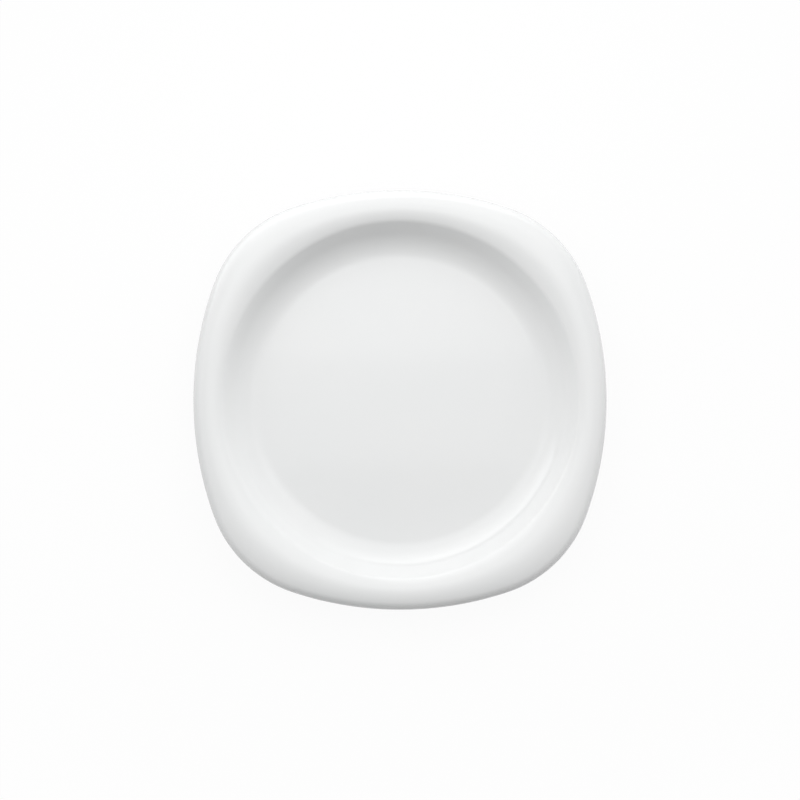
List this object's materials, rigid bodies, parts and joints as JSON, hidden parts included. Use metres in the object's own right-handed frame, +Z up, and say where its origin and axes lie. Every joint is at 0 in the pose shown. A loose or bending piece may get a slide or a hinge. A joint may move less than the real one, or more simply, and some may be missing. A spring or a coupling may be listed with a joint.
{
  "type": "breakfast plate",
  "caption": "Soft-square white porcelain breakfast plate with a round well and a broad rolled rim, glazed all over but for its bare foot ring.",
  "frame": {"origin": "middle of the foot ring, on the surface that the plate stands on", "axes": "+Z up out of the well, +X to the right side and +Y to the back side, which is the top of the picture and the longer way across"},
  "size_m": [0.204, 0.207, 0.0245],
  "materials": {
    "porcelain": "bare fired porcelain, matte, polished smooth on the seat of the foot ring",
    "glaze": "clear gloss glaze over white porcelain"
  },
  "bodies": {
    "root": {"porcelain_body": "porcelain", "outer_glaze": "glaze", "base_glaze": "glaze"}
  },
  "joints": []
}
